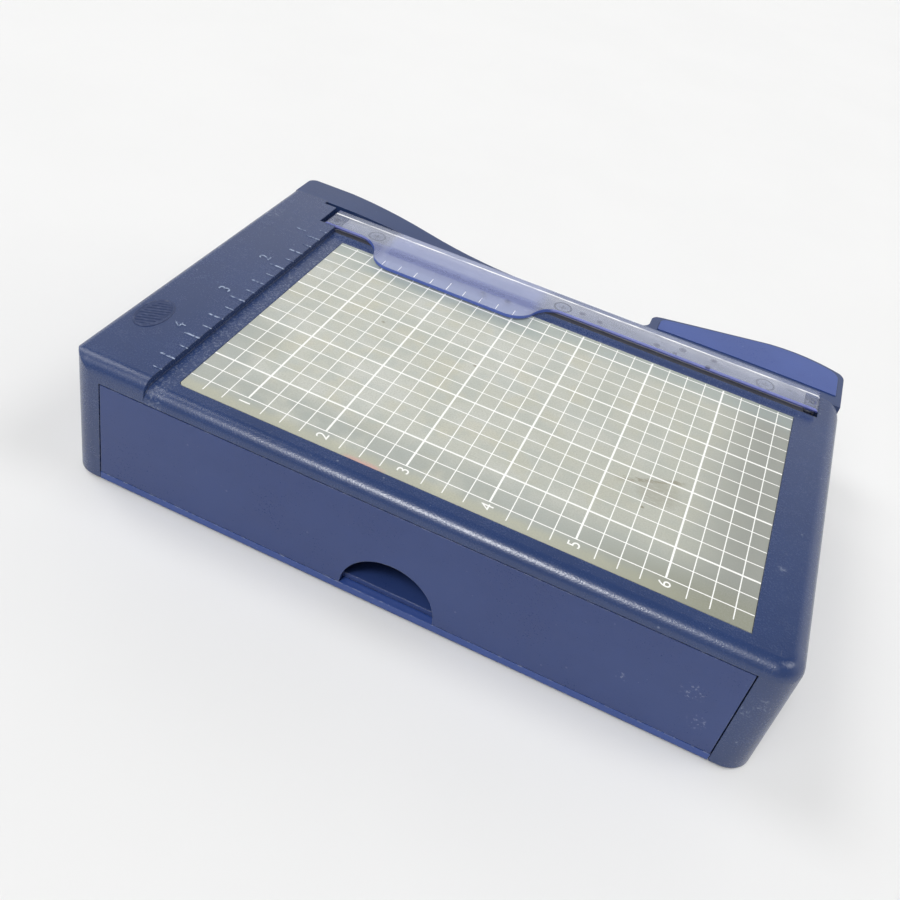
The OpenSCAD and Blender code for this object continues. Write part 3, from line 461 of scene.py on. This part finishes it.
def tape():
    """Pale double-sided tape with a paper-like fleck."""
    f = Finish("panel_tape_film")
    fleck = f.noise(0.6, 4)
    colour = f.mix(fleck.rise(0.35, 0.7), tone(196, 190, 170), tone(222, 218, 204))
    return f.set(Base_Color=colour, Roughness=0.62 + fleck * 0.15, Normal=f.bump(fleck, 0.01))


def print_ink():
    """White printed ink, a little thin in places."""
    f = Finish("white_grid_ink")
    thin = f.noise(1.1, 4, shift=2.0).rise(0.55, 0.8)
    colour = f.mix(thin * 0.35, tone(244, 244, 241), tone(212, 212, 203))
    return f.set(Base_Color=colour, Roughness=0.5 + thin * 0.15, Normal=f.bump(thin, 0.004))


def rubbed_mark(name, deep, pale_mark, low, high, strength=1.0):
    """Raised moulded marks whose tops are rubbed pale in patches."""
    f = Finish(name)
    patch = f.noise(1.3, 4, shift=3.7).rise(low, high) * f.facing("Z").rise(0.2, 0.9) * strength
    grain = f.noise(0.3, 2)
    return f.set(
        Base_Color=f.mix(patch, deep, pale_mark),
        Roughness=0.34 + patch * 0.2,
        Normal=f.bump(grain, 0.02),
    )


NAVY_DEEP, NAVY_PALE = (0.022, 0.043, 0.126, 1), (0.025, 0.049, 0.142, 1)
NAVY_WORN = (0.30, 0.34, 0.44, 1)
DRAWER_DEEP, DRAWER_PALE = (0.024, 0.047, 0.162, 1), (0.0275, 0.053, 0.178, 1)
BASE_DEEP, BASE_PALE = (0.029, 0.065, 0.245, 1), (0.036, 0.076, 0.275, 1)
GRIP_DEEP, GRIP_PALE = (0.031, 0.067, 0.26, 1), (0.038, 0.078, 0.295, 1)
GRIP_WORN = (0.30, 0.36, 0.58, 1)
RULER_WORN = (0.38, 0.45, 0.60, 1)
OVAL_DEEP, OVAL_WORN = (0.016, 0.033, 0.104, 1), (0.11, 0.14, 0.25, 1)

navy = moulded(
    "navy_moulding", NAVY_DEEP, NAVY_PALE, NAVY_WORN, gloss=0.26, grain=0.46, depth=0.055,
    speckled=True, scraped=True, shine=0.6,
)
navy_arm = moulded(
    "navy_arm_moulding", NAVY_DEEP, NAVY_PALE, NAVY_WORN, gloss=0.34, grain=0.42, depth=0.04,
    edge_wear=0.15, marks=0.8, edge_size=0.2,
)
navy_drawer = moulded(
    "navy_drawer_moulding", DRAWER_DEEP, DRAWER_PALE, NAVY_WORN, gloss=0.30, grain=0.42, depth=0.02,
    edge_wear=0.4, marks=0.4, scraped=True,
)
# The base plate's edges are paled at full strength: rubbed wear, and a painted highlight along its
# lower front edge.
navy_base = moulded(
    "navy_base_moulding", BASE_DEEP, BASE_PALE, NAVY_WORN, gloss=0.36, grain=0.45, depth=0.034,
    edge_wear=1.0,
)
grip_blue = moulded(
    "grip_blue_moulding", GRIP_DEEP, GRIP_PALE, GRIP_WORN, gloss=0.30, grain=0.45, depth=0.03,
    edge_wear=0.2, marks=0.5, edge_size=0.25,
)
panel_finish = frosted_panel()
guard_finish = clear_guard()
knife_steel = steel(
    "ground_knife_steel", tone(214, 212, 208), tone(178, 176, 174), gloss=0.34, along="X", stains=0.35,
    painted_shade_front=knife_front, rings=SCREW_RINGS,
)
blade_steel = steel(
    "ground_blade_steel", tone(188, 187, 185), tone(146, 145, 144), gloss=0.30, along="X", stains=0.5
)
knife_screw = steel(
    "dull_screw_steel", tone(196, 196, 200), tone(150, 150, 156), gloss=0.36, along="X", stains=0.3,
    rings=SCREW_RINGS,
)
zinc = steel(
    "zinc_plate", tone(186, 188, 190), tone(150, 151, 156), gloss=0.38, along="Y", stains=0.25
)
spring = steel(
    "spring_wire_steel", tone(170, 170, 172), tone(128, 128, 132), gloss=0.32, along="Z", stains=0.2
)
bronze = steel(
    "bush_bronze", tone(176, 138, 88), tone(140, 104, 66), gloss=0.36, along="Y", stains=0.3
)
foot_rubber = rubber()
tape_film = tape()
ink = print_ink()
ruler_marks = rubbed_mark("rubbed_ruler_marks", NAVY_PALE, RULER_WORN, low=0.41, high=0.59)
oval_marks = rubbed_mark(
    "rubbed_oval_marks", OVAL_DEEP, OVAL_WORN, low=0.46, high=0.72, strength=0.45
)
ledge_ink = rubbed_mark(
    "worn_ledge_ink", tone(150, 158, 205), tone(238, 239, 245), low=0.3, high=0.5
)

finish_of = {
    "housing": navy,
    "base_plate": navy_base,
    "base_screws": zinc,
    "rubber_feet": foot_rubber,
    "drawer": navy_drawer,
    "grid_panel": panel_finish,
    "panel_tape": tape_film,
    "bed_knife": knife_steel,
    "bed_knife_screws": knife_screw,
    "guard": guard_finish,
    "guard_springs": spring,
    "guard_clips": spring,
    "blade_arm": navy_arm,
    "handle_grip": grip_blue,
    "cutting_blade": blade_steel,
    "blade_screws": zinc,
    "pivot_bush": bronze,
    "pivot_bolt": zinc,
    "pivot_washer": zinc,
    "disc_spring": spring,
    "pivot_nut": zinc,
    "stop_pin": zinc,
}
for name, finish in finish_of.items():
    mesh = nodes[name].data
    mesh.materials.clear()
    mesh.materials.append(finish)


def piece(name, mesh, material, body):
    """A new piece of the dressed part, carried by a body."""
    mesh.name = name
    mesh.materials.clear()
    mesh.materials.append(material)
    obj = bpy.data.objects.new(name, mesh)
    bpy.context.scene.collection.objects.link(obj)
    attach(obj, body)
    return obj


def add_bar(bm, x0, x1, y0, y1, z0, z1):
    """One thin bar between two corners, in millimetres."""
    made = bmesh.ops.create_cube(bm, size=1.0)["verts"]
    for v in made:
        v.co = Vector(
            (x1 if v.co.x > 0 else x0, y1 if v.co.y > 0 else y0, z1 if v.co.z > 0 else z0)
        ) * MM


def numeral_mesh(text, height, thick):
    """A numeral as a mesh centred on its own box, height mm tall and thick mm deep."""
    curve = bpy.data.curves.new("numeral_outline", "FONT")
    curve.body, curve.extrude, curve.resolution_u = text, 0.5, 4
    obj = bpy.data.objects.new("numeral_outline", curve)
    bpy.context.scene.collection.objects.link(obj)
    bpy.context.view_layer.update()
    mesh = bpy.data.meshes.new_from_object(obj.evaluated_get(bpy.context.evaluated_depsgraph_get()))
    bpy.data.objects.remove(obj)
    bpy.data.curves.remove(curve)
    low = Vector([min(v.co[i] for v in mesh.vertices) for i in range(3)])
    high = Vector([max(v.co[i] for v in mesh.vertices) for i in range(3)])
    middle, grow = (low + high) / 2, height / (high.y - low.y)
    for v in mesh.vertices:
        d = v.co - middle
        v.co = Vector((d.x * grow, d.y * grow, d.z / (high.z - low.z) * thick)) * MM
    return mesh


def add_numeral(bm, text, x, y, z, height, thick):
    """Sets a numeral into bm with its top towards -X, its middle at x, y and its foot at z."""
    mesh = numeral_mesh(text, height, thick)
    mesh.transform(
        Matrix.Translation(Vector((x, y, z + thick / 2)) * MM) @ Matrix.Rotation(math.pi / 2, 4, "Z")
    )
    bm.from_mesh(mesh)
    bpy.data.meshes.remove(mesh)


def mesh_from(bm):
    """The mesh of a bmesh, which is freed."""
    mesh = bpy.data.meshes.new("trimmer_piece")
    bm.to_mesh(mesh)
    bm.free()
    return mesh


# The grid: bold every inch, thin every quarter inch, counted from the left and from the front.
SUNK, PROUD = 0.02, 0.03  # how far print reaches into its sheet and stands on it
CROSS_PROUD = 0.036  # the lines along X lie a little above those that they cross
grid_back = min(GRID_Y + QUARTER * 16 + 1.2, panel_high.y - 0.1)
lines = bmesh.new()
for u in range(2, 28):
    x = GRID_X + QUARTER * u
    bold = u % 4 == 0
    half = 0.30 if bold else 0.16
    grid_front = GRID_Y + (QUARTER if bold else 2.0)  # a bold line leaves room for its numeral
    add_bar(lines, x - half, x + half, grid_front, grid_back, deck - SUNK, deck + PROUD)
for v in range(1, 17):
    y = GRID_Y + QUARTER * v
    half = 0.31 if v % 4 == 3 else 0.17
    x0, x1 = panel_low.x + 0.05, panel_high.x - 0.05
    add_bar(lines, x0, x1, y - half, y + half, deck - SUNK, deck + CROSS_PROUD)
piece("grid_lines", mesh_from(lines), ink, "base")

NUMERAL_HIGH = 3.6
numerals = bmesh.new()
for inch in range(1, 7):
    x, y = GRID_X + 4 * QUARTER * inch, GRID_Y + 4.1
    if inch == 1:  # a plain stroke
        half = NUMERAL_HIGH / 2
        add_bar(numerals, x - half, x + half, y - 0.25, y + 0.25, deck - SUNK, deck + PROUD)
    else:
        add_numeral(numerals, str(inch), x, y, deck - SUNK, NUMERAL_HIGH, SUNK + PROUD)
piece("grid_numerals", mesh_from(numerals), ink, "base")

# The ruler moulded on the fence, counted from the cutting edge.
MARK_SUNK, MARK_PROUD = 0.05, 0.12
mark_foot, mark_top = fence_top - MARK_SUNK, fence_top + MARK_PROUD
ruler = bmesh.new()
for v in range(0, 17):
    y = GRID_Y + QUARTER * v + 0.2
    reach = {3: 5.2, 1: 5.0}.get(v % 4, 3.1)
    half = 0.35 if v % 2 else 0.22
    add_bar(ruler, GRID_X - reach, GRID_X + 0.2, y - half, y + half, mark_foot, mark_top)
    if v % 4 == 3:
        inch = str((19 - v) // 4)
        add_numeral(ruler, inch, GRID_X - 8.8, y + 2.4, mark_foot, 3.9, MARK_SUNK + MARK_PROUD)
piece("fence_ruler", mesh_from(ruler), ruler_marks, "base")

# A plain oval medallion with a raised rim and slanted ribs inside it.
OVAL_X, OVAL_Y = GRID_X - 18.2, GRID_Y + 22.15
LONG, SHORT = 8.4, 5.2  # half its length and half its width
OVAL_STEPS = 96
RIB_PITCH, RIB_SLANT, RIB_HALF = 1.55, 0.45, 0.32
oval = bmesh.new()
rings = []
for inset, height in ((0, -MARK_SUNK), (0.12, 0.16), (0.62, 0.16), (0.8, 0.02)):
    ring = []
    for i in range(OVAL_STEPS):
        angle = 2 * math.pi * i / OVAL_STEPS
        x = OVAL_X + (SHORT - inset) * math.cos(angle)
        y = OVAL_Y + (LONG - inset) * math.sin(angle)
        ring.append(oval.verts.new(Vector((x, y, fence_top + height)) * MM))
    rings.append(ring)
for outer, inner in zip(rings, rings[1:]):
    for i in range(OVAL_STEPS):
        after = (i + 1) % OVAL_STEPS
        oval.faces.new((outer[i], outer[after], inner[after], inner[i]))
oval.faces.new(rings[-1])
for k in range(-4, 5):
    middle = k * RIB_PITCH
    reach = (SHORT - 1.3) * math.sqrt(1 - (middle / (LONG - 1.0)) ** 2)
    for p in bmesh.ops.create_cube(oval, size=1.0)["verts"]:
        x = reach if p.co.x > 0 else -reach
        y = middle + RIB_SLANT * x + (RIB_HALF if p.co.y > 0 else -RIB_HALF)
        p.co = Vector((OVAL_X + x, OVAL_Y + y, mark_top if p.co.z > 0 else mark_foot)) * MM
piece("fence_oval", mesh_from(oval), oval_marks, "base")

# Rubbed quarter-inch ticks on the guard's finger ledge.
ledge_top = guard_high.z - 0.7
tick_front = guard_low.y + 0.5
ticks = bmesh.new()
for u in range(4, 13):
    x = GRID_X + QUARTER * u
    tick_back = tick_front + (5.2 if u == 8 else 3.4)
    add_bar(ticks, x - 0.14, x + 0.14, tick_front, tick_back, ledge_top - SUNK, ledge_top + PROUD)
piece("ledge_ticks", mesh_from(ticks), ledge_ink, "guard")

# The guard's springs become a piece of their own on the base; spring_keep is the share of their height
# left when the guard is pressed through its travel.
press = next(joint for joint in frame["joints"] if joint["name"] == "guard_press")["range_m"][1]
spring_low, spring_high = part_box("guard_springs")
coils = nodes["guard_springs"].data.copy()
coils.transform(nodes["guard_springs"].matrix_world)
spring_coils = piece("guard_spring_coils", coils, spring, "base")
spring_keep = 1 - press / (spring_high.z - spring_low.z)
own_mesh(spring_coils)
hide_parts("guard_springs")

# The floor that the part stands on.
floor_finish = Finish("pale_floor", Specular_IOR_Level=0.2)
mottle = floor_finish.noise(120, 3)
FLOOR_DEEP, FLOOR_PALE = (0.785, 0.785, 0.782, 1), (0.795, 0.795, 0.792, 1)
floor_finish.set(
    Base_Color=floor_finish.mix(mottle.rise(0.35, 0.65), FLOOR_DEEP, FLOOR_PALE),
    Roughness=0.85 + (mottle - 0.5) * 0.1,
)
FAR = 6.0  # metres from the middle of the floor to each side
floor_mesh = bpy.data.meshes.new("pale_floor")
floor_mesh.from_pydata(
    [(-FAR, -FAR, 0), (FAR, -FAR, 0), (FAR, FAR, 0), (-FAR, FAR, 0)], [], [(0, 1, 2, 3)]
)
floor_mesh.materials.append(floor_finish.material)
floor = bpy.data.objects.new("pale_floor", floor_mesh)
bpy.context.scene.collection.objects.link(floor)

# A white room: bright walls, brightest behind the part, a dim ceiling and the glow round a window.
CEILING, GLOW, BACKDROP = 0.05, 2.2, 0.90
WINDOW = (-0.21, -0.95, 1.35)  # the direction of the window
world = bpy.data.worlds.new("white_room")
bpy.context.scene.world = world
world.use_nodes = True
room = Shading(world.node_tree)
towards = room.node("ShaderNodeTexCoord", output="Generated")
behind = room.part(towards, "Y").rise(-0.4, 0.4)
walls = room.part(towards, "Z").rise(0.67, 0.53) * (0.20 + 0.82 * behind)
windowward = room.vector("DOT_PRODUCT", towards, Vector(WINDOW).normalized(), output="Value")
room_light = CEILING + walls + GLOW * windowward.rise(0.88, 0.98)
seen = room.node("ShaderNodeLightPath", output="Is Camera Ray")
background = world.node_tree.nodes["Background"]
room.feed(background.inputs["Color"], (1, 1, 1, 1))
room.feed(background.inputs["Strength"], room_light * (1 - seen) + BACKDROP * seen)


def lamp(name, place, spread, strength):
    """Even soft light from the direction of place, over an angle of spread degrees."""
    light = bpy.data.lights.new(name, "SUN")
    light.angle, light.energy = math.radians(spread), strength
    obj = bpy.data.objects.new(name, light)
    bpy.context.scene.collection.objects.link(obj)
    obj.location = place
    obj.rotation_euler = Vector(place).to_track_quat("Z", "Y").to_euler()


lamp("window_light", WINDOW, 13, 1.4)
lamp("left_ceiling_light", (-0.85, 0.20, 1.17), 23, 0.60)
lamp("right_ceiling_light", (0.85, 0.20, 1.17), 23, 0.60)

# Seen as the grid shows it: the eye's place and axes were solved from the grid's crossings.
RIGHT = (0.907644, 0.374517, 0.189523)
UP = (-0.367927, 0.492571, 0.788672)
BACK = (0.202018, -0.785564, 0.584874)
FROM_GRID = Vector((133.1175, -194.4247, 186.5076))
camera = bpy.data.cameras.new("photo_camera")
camera.sensor_width, camera.lens = 36.0, 39.853
camera.shift_x, camera.shift_y = 0.00152, -0.09083
eye = bpy.data.objects.new("photo_camera", camera)
bpy.context.scene.collection.objects.link(eye)
place = (Vector((GRID_X, GRID_Y, deck)) + FROM_GRID) * MM
eye.matrix_world = Matrix.Translation(place) @ Matrix((RIGHT, UP, BACK)).transposed().to_4x4()
bpy.context.scene.camera = eye
bpy.context.scene.view_settings.view_transform = "Standard"
